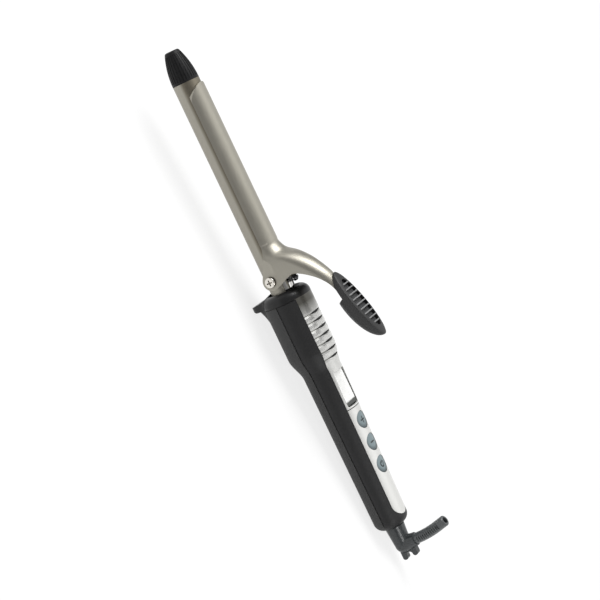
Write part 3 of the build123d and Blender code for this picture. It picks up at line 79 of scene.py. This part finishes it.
# Values that several materials share
WHITE = (1, 1, 1)
PLASTIC = {"mottle": 0.15, "scale": 2600}
DULL = {"Specular IOR Level": 0.3}
FAINT = {"Specular IOR Level": 0.14}
CHAMPAGNE = {"color": (0.366, 0.349, 0.301), "roughness": 0.46, "metallic": 0.9, "mottle": 0.03,
             "scale": 900, "bump": 0.03, "grain": BRUSHED}

# Painted shade: the barrel is darkened towards the clamp's edge, where the clamp shades it, between
# two shares of its height
BARREL_RADIUS = 0.0095
BARREL_SHADE = (0.55, 0.52, 0.47)
BARREL_SHADE_SHARES = (0.48, 0.60)

# The pivot screws: outer faces, and the depth below which painted shade darkens their cross recesses
# and the heads' sides
SCREW_FACE_Y = 0.01435
SCREW_RECESS_Y = 0.01347
SCREW_RECESS_BLUR = 0.003
SCREW_SHADE = (0.16, 0.14, 0.12)

# Painted dark reflection on the silver panel next to the collar, and painted shade along the bottoms
# of its cross grooves
PANEL_FRONT_X = 0.0035
PANEL_CLEAR_X = 0.0185
PANEL_PAINTED_REFLECTION = (0.17, 0.165, 0.148)
PANEL_REFLECTION_SHARES = (0.30, 1.0)
GROOVE_FIRST_X = 0.0173
GROOVE_PITCH = 0.0054
GROOVE_COUNT = 7
GROOVE_LINE_HALF = 0.0005
GROOVE_PAINTED_SHADE = (0.24, 0.24, 0.22)

# The display lens, with painted shade on the tail side and the far side, where the window's walls
# shade it
LENS_FRONT_X = 0.0603
LENS_BACK_X = 0.0857
LENS_HALF_WIDTH = 0.0077
LENS_PAINTED_SHADE = (0.05, 0.055, 0.05)
LENS_TAIL_SHARES = (0.0, 0.86, 0.90)
LENS_FAR_SHARES = (0.0, 0.93, 0.96)

# The thumb rest's ribbed pocket: middle, tilt, half sizes, the painted share of its oval, and the
# ribs, with a painted sheen on the rib tops and painted light on the floor between them
REST_MIDDLE = Vector((0.0232, 0, 0.048))
REST_TILT = 17.0
POCKET_HALF_LENGTH = 0.0195
POCKET_HALF_WIDTH = 0.0072
POCKET_SHARE = 0.97
POCKET_PAINTED_LIGHT = (0.058, 0.059, 0.061)
RIB_PITCH = 0.004
RIB_THICKNESS = 0.0009
RIB_FOOT = -0.0004
RIB_PAINTED_SHEEN = (0.19, 0.192, 0.192)

# The buttons, and the painted shade on their rims, which darkens outwards from a point a little
# towards the tip
BUTTON_XS = {"plus": 0.098, "minus": 0.1147, "power": 0.1314}
RIM_SHIFT = 0.0012
RIM_INNER = 0.0042
RIM_OUTER = 0.0074
RIM_PAINTED_SHADE = (0.03, 0.038, 0.042)

# The curve of the handle's upper half, which the button caps follow: half width and height at one
# place along the tool, and how fast they fall towards the tail
CURVE_X = 0.06
CURVE_HALF_WIDTH = 0.01477
CURVE_WIDTH_FALL = 0.0119
CURVE_HEIGHT = 0.014534
CURVE_HEIGHT_FALL = 0.0264
SEAM_Z = -0.0014
BUTTON_RECESS = 0.0003

# The buttons' marks: engraved in the caps, filled with dark ink that ends just below the surface
INK_BELOW = 0.00006
INK_THICKNESS = 0.00015
INK_SIDE_GAP = 0.00003
MARK_LENGTH = 0.0050
MARK_WIDTH = 0.0010
BAR_STEPS = 10
RING_STEPS = 36
RING_EXTRA_GAP = 0.15  # radians

# The floor, and the share of plain white that it shows to the camera and to reflections
FLOOR_HALF = 6.0
FLOOR_COLOR = (0.90, 0.90, 0.90)
FLOOR_ROUGHNESS = 0.85
FLOOR_WHITE = 0.78

# The surroundings: bright above and behind, dark on the near side and on a patch past the tip. The
# fades are cosines of the angle to each dark side's middle.
WORLD_BRIGHT = 0.95
WORLD_DARK = 0.23
DARK_SIDE = Vector((-0.1, -0.95, 0.25)).normalized()
DARK_FADE = (-0.3, 0.8)
FAR_SIDE = Vector((-0.62, 0.75, 0.22)).normalized()
FAR_FADE = (0.78, 0.97)
FAR_SHARE = 0.10

# Square lamps: name, place, the point that they face, side length and watts
TOOL_MIDDLE = (0, 0, 0.03)
TOOL_TAIL = (0.19, 0, 0.02)
LAMPS = (
    ("key", (-1.1, 0.22, 1.4), TOOL_MIDDLE, 0.9, 28),
    ("top", (0.5, 0.5, 1.6), TOOL_MIDDLE, 1.2, 2.5),
    ("tail", (0.66, -0.50, 0.55), TOOL_TAIL, 0.25, 2.2),
)


def add_camera():
    """The photograph's camera: to one side of the tool, raised, and rolled about its own view."""
    side = math.radians(CAMERA_SIDE)
    rise = math.radians(CAMERA_RISE)
    roll = math.radians(CAMERA_ROLL)
    flat = math.cos(rise)
    away = Vector((-math.sin(side) * flat, -math.cos(side) * flat, math.sin(rise)))
    level = (-away).cross(Vector((0, 0, 1))).normalized()
    upright = level.cross(-away)
    right = level * math.cos(roll) + upright * math.sin(roll)
    up = upright * math.cos(roll) - level * math.sin(roll)
    turn = Matrix((right, up, away)).transposed().to_4x4()
    data = bpy.data.cameras.new("camera")
    data.sensor_width = SENSOR_MILLIMETRES
    data.lens = FOCAL_PIXELS / PICTURE_PIXELS * SENSOR_MILLIMETRES
    data.clip_end = CAMERA_REACH
    camera = bpy.data.objects.new("camera", data)
    spot = CAMERA_TARGET + away * CAMERA_DISTANCE
    camera.matrix_world = PLACE @ Matrix.Translation(spot) @ turn
    scene.collection.objects.link(camera)
    scene.camera = camera


def math_node(tree, operation, first, second):
    """Adds one step of arithmetic on two sockets or numbers, and gives its result's socket."""
    node = tree.nodes.new("ShaderNodeMath")
    node.operation = operation
    for socket, value in zip(node.inputs, (first, second)):
        if isinstance(value, float):
            socket.default_value = value
        else:
            tree.links.new(value, socket)
    return node.outputs["Value"]


def dot_product(tree, vector, direction):
    """Socket with a vector's length along a fixed direction."""
    node = tree.nodes.new("ShaderNodeVectorMath")
    node.operation = "DOT_PRODUCT"
    node.inputs[1].default_value = direction
    tree.links.new(vector, node.inputs[0])
    return node.outputs["Value"]


def map_range(tree, value, source, target, interpolation="LINEAR"):
    """Socket with a value carried from one range to another."""
    node = tree.nodes.new("ShaderNodeMapRange")
    node.interpolation_type = interpolation
    for name, number in zip(("From Min", "From Max", "To Min", "To Max"), (*source, *target)):
        node.inputs[name].default_value = number
    tree.links.new(value, node.inputs["Value"])
    return node.outputs["Result"]


def tool_place(tree, axis):
    """Socket with a point's place along one axis of the tool."""
    coords = tree.nodes.new("ShaderNodeTexCoord")
    direction = PLACE.to_3x3() @ Vector(axis)
    along = dot_product(tree, coords.outputs["Object"], direction)
    return math_node(tree, "SUBTRACT", along, PLACE.translation.dot(direction))


def material(name, color, roughness, metallic=0.0, mottle=0.06, scale=900, bump=0.02, grain=EVEN,
             rough_spread=0.08, **sockets):
    """A shader whose colour, roughness and surface vary a little with fine noise."""
    made = bpy.data.materials.new(name)
    made.use_nodes = True
    tree = made.node_tree
    shader = tree.nodes["Principled BSDF"]
    coords = tree.nodes.new("ShaderNodeTexCoord")
    mapping = tree.nodes.new("ShaderNodeMapping")
    mapping.inputs["Scale"].default_value = grain
    noise = tree.nodes.new("ShaderNodeTexNoise")
    noise.inputs["Scale"].default_value = scale
    noise.inputs["Detail"].default_value = NOISE_DETAIL
    tree.links.new(coords.outputs["Object"], mapping.inputs["Vector"])
    tree.links.new(mapping.outputs["Vector"], noise.inputs["Vector"])
    ramp = tree.nodes.new("ShaderNodeValToRGB")
    low, high = ramp.color_ramp.elements
    low.position = NOISE_LOW
    high.position = NOISE_HIGH
    low.color = [c * (1 - mottle) for c in color] + [1]
    high.color = [min(1.0, c * (1 + mottle)) for c in color] + [1]
    tree.links.new(noise.outputs["Fac"], ramp.inputs["Fac"])
    tree.links.new(ramp.outputs["Color"], shader.inputs["Base Color"])
    rough_range = (max(0.0, roughness - rough_spread / 2), min(1.0, roughness + rough_spread / 2))
    rough = map_range(tree, noise.outputs["Fac"], (0, 1), rough_range)
    tree.links.new(rough, shader.inputs["Roughness"])
    relief = tree.nodes.new("ShaderNodeBump")
    relief.inputs["Strength"].default_value = bump
    relief.inputs["Distance"].default_value = RELIEF_DEPTH
    tree.links.new(noise.outputs["Fac"], relief.inputs["Height"])
    tree.links.new(relief.outputs["Normal"], shader.inputs["Normal"])
    shader.inputs["Metallic"].default_value = metallic
    for socket, value in sockets.items():
        shader.inputs[socket].default_value = value
    return made


def dress(made, *names):
    """Gives one material to CAD nodes."""
    for name in names:
        mesh = nodes[name].data
        mesh.materials.clear()
        mesh.materials.append(made)


def base_mix(made, blend_type):
    """Puts a mix node between a shader's base colour and what fed it, and gives the node."""
    tree = made.node_tree
    base = tree.nodes["Principled BSDF"].inputs["Base Color"]
    mix = tree.nodes.new("ShaderNodeMix")
    mix.data_type = "RGBA"
    mix.blend_type = blend_type
    tree.links.new(base.links[0].from_socket, mix.inputs["A"])
    tree.links.new(mix.outputs["Result"], base)
    return mix


def tint(made, share, color):
    """Mixes a colour into a shader's base colour by a socket's share."""
    mix = base_mix(made, "MIX")
    mix.inputs["B"].default_value = (*color, 1)
    made.node_tree.links.new(share, mix.inputs["Factor"])


def by_place(made, axis, start, end, colors, shares):
    """Multiplies a shader's colour by a row of colours, at shares of the way along one axis."""
    tree = made.node_tree
    ramp = tree.nodes.new("ShaderNodeValToRGB")
    row = ramp.color_ramp.elements
    while len(row) < len(colors):
        row.new(0.5)
    for element, color, share in zip(row, colors, shares):
        element.position = share
        element.color = (*color, 1)
    tree.links.new(map_range(tree, tool_place(tree, axis), (start, end), (0, 1)), ramp.inputs["Fac"])
    mix = base_mix(made, "MULTIPLY")
    mix.inputs["Factor"].default_value = 1.0
    tree.links.new(ramp.outputs["Color"], mix.inputs["B"])


def tint_ribs(made):
    """Paints a sheen on the thumb rest's rib tops and painted light on the floor between them."""
    tree = made.node_tree
    coords = tree.nodes.new("ShaderNodeTexCoord")
    local = tree.nodes.new("ShaderNodeMapping")
    local.vector_type = "TEXTURE"
    local.inputs["Location"].default_value = PLACE @ REST_MIDDLE
    tilt = LAID @ Matrix.Rotation(math.radians(-REST_TILT), 4, "Y")
    local.inputs["Rotation"].default_value = tilt.to_euler()
    local.inputs["Scale"].default_value = (POCKET_HALF_LENGTH, POCKET_HALF_WIDTH, 1)
    tree.links.new(coords.outputs["Object"], local.inputs["Vector"])
    parts = tree.nodes.new("ShaderNodeSeparateXYZ")
    tree.links.new(local.outputs["Vector"], parts.inputs["Vector"])
    x, y, z = parts.outputs
    across = math_node(tree, "MULTIPLY", y, y)
    square = math_node(tree, "ADD", math_node(tree, "MULTIPLY", x, x), across)
    inside = math_node(tree, "LESS_THAN", square, POCKET_SHARE)
    half_pitch = RIB_PITCH / POCKET_HALF_LENGTH / 2
    half_rib = RIB_THICKNESS / POCKET_HALF_LENGTH / 2
    rib = math_node(tree, "LESS_THAN", math_node(tree, "PINGPONG", x, half_pitch), half_rib)
    above = math_node(tree, "GREATER_THAN", z, RIB_FOOT)
    below = math_node(tree, "LESS_THAN", z, RIB_FOOT)
    tint(made, math_node(tree, "MULTIPLY", inside, below), POCKET_PAINTED_LIGHT)
    rib_top = math_node(tree, "MULTIPLY", rib, above)
    tint(made, math_node(tree, "MULTIPLY", inside, rib_top), RIB_PAINTED_SHEEN)


def tint_grooves(made):
    """Paints shade along the bottoms of the grip panel's cross grooves."""
    tree = made.node_tree
    x = math_node(tree, "SUBTRACT", tool_place(tree, ALONG_TOOL), GROOVE_FIRST_X)
    from_middle = math_node(tree, "PINGPONG", x, GROOVE_PITCH / 2)
    line = map_range(tree, from_middle, (GROOVE_LINE_HALF / 2, GROOVE_LINE_HALF), (1, 0))
    after = math_node(tree, "GREATER_THAN", x, -GROOVE_PITCH / 2)
    before = math_node(tree, "LESS_THAN", x, (GROOVE_COUNT - 0.5) * GROOVE_PITCH)
    span = math_node(tree, "MULTIPLY", after, before)
    tint(made, math_node(tree, "MULTIPLY", line, span), GROOVE_PAINTED_SHADE)


def tint_rims(made):
    """Paints shade on the buttons' rims, most on the tail side."""
    tree = made.node_tree
    first_x = BUTTON_XS["plus"]
    pitch = BUTTON_XS["minus"] - first_x
    from_first = math_node(tree, "SUBTRACT", tool_place(tree, ALONG_TOOL), first_x - RIM_SHIFT)
    x = math_node(tree, "PINGPONG", from_first, pitch / 2)
    y = tool_place(tree, ACROSS_TOOL)
    across = math_node(tree, "MULTIPLY", y, y)
    square = math_node(tree, "ADD", math_node(tree, "MULTIPLY", x, x), across)
    radius = math_node(tree, "SQRT", square, 0.0)
    tint(made, map_range(tree, radius, (RIM_INNER, RIM_OUTER), (0, 1)), RIM_PAINTED_SHADE)


def add_metals():
    """The clamp, the barrel and what joins them to the handle."""
    dress(material("champagne_metal", **CHAMPAGNE), "clamp", "hinge_bracket")
    barrel = material("barrel_metal", **CHAMPAGNE)
    # Painted shade on the barrel along the clamp's edge
    by_place(barrel, ABOVE_TOOL, -BARREL_RADIUS, BARREL_RADIUS, (WHITE, BARREL_SHADE),
             BARREL_SHADE_SHARES)
    dress(barrel, "barrel_tube")
    dress(material("bright_chrome", (0.60, 0.59, 0.57), 0.10, 1.0, mottle=0.02, scale=800, bump=0.01,
                   grain=BRUSHED), "neck_tube")
    screw = material("screw_chrome", (0.74, 0.71, 0.65), 0.18, 1.0, mottle=0.03)
    near = (SCREW_FACE_Y - SCREW_RECESS_Y) / SCREW_FACE_Y / 2
    far = 1 - near
    # Painted shade in the screws' cross recesses and on the heads' sides
    by_place(screw, ACROSS_TOOL, -SCREW_FACE_Y, SCREW_FACE_Y,
             (WHITE, SCREW_SHADE, SCREW_SHADE, WHITE),
             (near, near + SCREW_RECESS_BLUR, far - SCREW_RECESS_BLUR, far))
    dress(screw, "pivot_screws")
    dress(material("dull_steel", (0.35, 0.35, 0.35), 0.35, 0.9, scale=1500, bump=0.03),
          "spring_bracket", "spring_pin", "board_screws", "shell_screws")
    dress(material("spring_steel", (0.06, 0.06, 0.065), 0.32, 0.8, mottle=0.1, scale=1500, bump=0.03),
          "return_spring")


def add_plastics():
    """The cool tip, the thumb rest, the handle's casing and the cord swivel."""
    dress(material("tip_plastic", (0.014, 0.014, 0.0145), 0.46, bump=0.10, **PLASTIC, **FAINT),
          "cool_tip")
    rest = material("ribbed_plastic", (0.029, 0.029, 0.0295), 0.50, bump=0.10, **PLASTIC, **DULL)
    # Painted sheen on the rib tops and painted light on the pocket's floor
    tint_ribs(rest)
    dress(rest, "thumb_rest")
    dress(material("collar_plastic", (0.014, 0.014, 0.0145), 0.36, bump=0.06, **PLASTIC, **DULL),
          "collar_stand")
    dress(material("black_plastic", (0.0175, 0.0175, 0.018), 0.50, bump=0.10, **PLASTIC, **DULL),
          "front_shell", "triac")
    dress(material("soft_black_plastic", (0.043, 0.043, 0.043), 0.60, bump=0.10, **PLASTIC, **DULL),
          "back_shell")
    dress(material("satin_black_plastic", (0.034, 0.038, 0.040), 0.30, bump=0.05, **PLASTIC),
          "swivel_neck", "hang_hook")
    dress(material("black_rubber", (0.066, 0.072, 0.074), 0.34, mottle=0.15, scale=1500, bump=0.08),
          "cord_boot")


def add_panel_materials():
    """The silver panels, the display and the buttons."""
    silver = material("silver_plastic", (0.66, 0.66, 0.64), 0.34, 0.5, mottle=0.02, scale=3000)
    # Painted dark reflection on the panel next to the collar, under the thumb rest
    by_place(silver, ALONG_TOOL, PANEL_FRONT_X, PANEL_CLEAR_X, (PANEL_PAINTED_REFLECTION, WHITE),
             PANEL_REFLECTION_SHARES)
    # Painted shade along the bottoms of the panel's grooves
    tint_grooves(silver)
    dress(silver, "grip_panel", "button_panel")
    slate = material("slate_plastic", (0.174, 0.220, 0.233), 0.40, mottle=0.08, scale=2000, bump=0.04,
                     **DULL)
    # Painted shade on the buttons' rims
    tint_rims(slate)
    dress(slate, "plus_button", "minus_button", "power_button")
    dress(material("gloss_black", (0.02, 0.02, 0.02), 0.15, mottle=0.1, scale=2000, bump=0.01),
          "display_frame")
    lens = material("milky_lens", (0.92, 0.92, 0.90), 0.12, mottle=0.01, scale=500, bump=0.0,
                    rough_spread=0.02)
    # Painted shade from the window's walls on the lens's tail and far sides
    lens_wall_shade = (WHITE, WHITE, LENS_PAINTED_SHADE)
    by_place(lens, ALONG_TOOL, LENS_FRONT_X, LENS_BACK_X, lens_wall_shade, LENS_TAIL_SHARES)
    by_place(lens, ACROSS_TOOL, -LENS_HALF_WIDTH, LENS_HALF_WIDTH, lens_wall_shade, LENS_FAR_SHARES)
    dress(lens, "display_lens")
    dress(material("display_glass", (0.86, 0.88, 0.86), 0.2, mottle=0.02, scale=500, bump=0.0),
          "lcd_glass")


def add_inner_materials():
    """What the barrel and the handle hold inside."""
    dress(material("white_ceramic", (0.80, 0.79, 0.75), 0.5, mottle=0.04, bump=0.04),
          "heater_plate", "backlight_block")
    dress(material("bare_aluminium", (0.68, 0.68, 0.69), 0.35, 1.0, mottle=0.05, bump=0.03,
                   grain=BRUSHED), "upper_heat_spreader", "lower_heat_spreader")
    dress(material("brown_insulation", (0.20, 0.13, 0.08), 0.55, mottle=0.15, scale=1200, bump=0.06),
          "neck_bush", "brush_block", "temperature_sensor")
    dress(material("green_laminate", (0.03, 0.16, 0.07), 0.4, mottle=0.12, scale=700),
          "control_board")
    dress(material("grey_plastic", (0.16, 0.16, 0.17), 0.5, mottle=0.1, scale=1500, bump=0.04),
          "switch_housings", "plus_plunger", "minus_plunger", "power_plunger")
    dress(material("yellow_plastic", (0.55, 0.38, 0.06), 0.45, mottle=0.08, bump=0.03),
          "filter_capacitor")
    dress(material("lead_insulation", (0.62, 0.60, 0.55), 0.6, bump=0.05),
          "heater_leads", "mains_leads")
    dress(material("brass", (0.60, 0.42, 0.16), 0.3, 1.0), "contact_springs", "slip_rings")


def cap_point(x, y):
    """Point of the ink's face above (x, y) of the tool, following the curve of the button caps."""
    behind = x - CURVE_X
    half_width = CURVE_HALF_WIDTH - CURVE_WIDTH_FALL * behind - BUTTON_RECESS
    height = CURVE_HEIGHT - CURVE_HEIGHT_FALL * behind - BUTTON_RECESS
    z = SEAM_Z + height * math.sqrt(1 - (y / half_width) ** 2) - INK_BELOW
    return PLACE @ Vector((x, y, z))


def bar(x, y, length_x, length_y):
    """Grid of points for a straight stroke, as rows across the button."""
    rows = []
    for i in range(BAR_STEPS + 1):
        row_y = y + length_y * (i / BAR_STEPS - 0.5)
        rows.append([(x - length_x / 2, row_y), (x + length_x / 2, row_y)])
    return rows


def ring(x, outer, inner, gap):
    """Grid of points for a ring stroke that is open towards the tip by a gap angle in radians."""
    rows = []
    for i in range(RING_STEPS + 1):
        angle = math.pi + gap / 2 + (2 * math.pi - gap) * i / RING_STEPS
        rows.append([(x + r * math.cos(angle), r * math.sin(angle)) for r in (inner, outer)])
    return rows


def add_mark(name, strokes, ink):
    """Ink in the engraved mark of one button."""
    mesh = bpy.data.meshes.new(name + "_mark")
    points, faces = [], []
    for rows in strokes:
        first = len(points)
        points += [cap_point(*point) for row in rows for point in row]
        for i in range(len(rows) - 1):
            corner = first + 2 * i
            faces.append((corner, corner + 1, corner + 3, corner + 2))
    mesh.from_pydata(points, [], faces)
    mesh.materials.append(ink)
    mark = bpy.data.objects.new(name + "_mark", mesh)
    scene.collection.objects.link(mark)
    thick = mark.modifiers.new("thickness", "SOLIDIFY")
    thick.thickness = INK_THICKNESS
    thick.offset = 0
    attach(mark, name + "_button")


def add_marks():
    """The plus, minus and power signs. Every stroke stays a little inside its engraved groove."""
    ink = material("mark_ink", (0.012, 0.018, 0.02), 0.6, mottle=0.2, scale=3000, bump=0.03)
    long = MARK_LENGTH - 2 * INK_SIDE_GAP
    wide = MARK_WIDTH - 2 * INK_SIDE_GAP
    arm = (long - wide) / 2
    reach = (long + wide) / 4
    x = BUTTON_XS["plus"]
    arms = [bar(x - reach, 0, arm, wide), bar(x + reach, 0, arm, wide)]
    add_mark("plus", [bar(x, 0, wide, long), *arms], ink)
    add_mark("minus", [bar(BUTTON_XS["minus"], 0, wide, long)], ink)
    x = BUTTON_XS["power"]
    outer = long / 2
    inner = MARK_LENGTH / 2 - MARK_WIDTH + INK_SIDE_GAP
    gap = 2 * math.asin(MARK_WIDTH / outer) + RING_EXTRA_GAP
    add_mark("power", [ring(x, outer, inner, gap), bar(x - outer / 2, 0, outer, wide)], ink)


def add_spring():
    """The return spring, as a copy of its mesh fixed in place, with the CAD node hidden."""
    wire = bpy.data.objects.new("spring_wire", nodes["return_spring"].data.copy())
    scene.collection.objects.link(wire)
    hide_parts("return_spring")
    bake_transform(wire)


def add_floor():
    """A pale floor that looks near white, also in reflections, and keeps the object's shadow."""
    mesh = bpy.data.meshes.new("floor")
    half = FLOOR_HALF
    corners = [(-half, -half, 0), (half, -half, 0), (half, half, 0), (-half, half, 0)]
    mesh.from_pydata(corners, [], [(0, 1, 2, 3)])
    floor = bpy.data.objects.new("floor", mesh)
    scene.collection.objects.link(floor)
    pale = material("pale_floor", FLOOR_COLOR, FLOOR_ROUGHNESS, mottle=0.01, scale=3, bump=0.0)
    tree = pale.node_tree
    path = tree.nodes.new("ShaderNodeLightPath")
    seen = path.outputs["Is Camera Ray"]
    for ray in ("Is Glossy Ray", "Is Transmission Ray"):
        seen = math_node(tree, "MAXIMUM", seen, path.outputs[ray])
    glow = tree.nodes.new("ShaderNodeEmission")
    mix = tree.nodes.new("ShaderNodeMixShader")
    tree.links.new(math_node(tree, "MULTIPLY", seen, FLOOR_WHITE), mix.inputs["Fac"])
    tree.links.new(tree.nodes["Principled BSDF"].outputs["BSDF"], mix.inputs[1])
    tree.links.new(glow.outputs["Emission"], mix.inputs[2])
    tree.links.new(mix.outputs["Shader"], tree.nodes["Material Output"].inputs["Surface"])
    mesh.materials.append(pale)


def add_world():
    """Surroundings that are bright above and behind the object, with two darker sides."""
    world = bpy.data.worlds.new("studio")
    scene.world = world
    world.use_nodes = True
    tree = world.node_tree
    background = tree.nodes["Background"]
    background.inputs["Color"].default_value = (1, 1, 1, 1)
    around = tree.nodes.new("ShaderNodeTexCoord").outputs["Generated"]
    near = map_range(tree, dot_product(tree, around, DARK_SIDE), DARK_FADE,
                     (WORLD_BRIGHT, WORLD_DARK), "SMOOTHSTEP")
    far = map_range(tree, dot_product(tree, around, FAR_SIDE), FAR_FADE,
                    (1, FAR_SHARE), "SMOOTHSTEP")
    tree.links.new(math_node(tree, "MULTIPLY", near, far), background.inputs["Strength"])


def add_lamps():
    for name, place, aim, side, watts in LAMPS:
        data = bpy.data.lights.new(name, "AREA")
        data.energy = watts
        data.size = side
        lamp = bpy.data.objects.new(name, data)
        lamp.location = place
        lamp.rotation_euler = (Vector(aim) - Vector(place)).to_track_quat("-Z", "Y").to_euler()
        scene.collection.objects.link(lamp)


add_camera()
add_metals()
add_plastics()
add_panel_materials()
add_inner_materials()
add_marks()
add_spring()
add_floor()
add_world()
add_lamps()
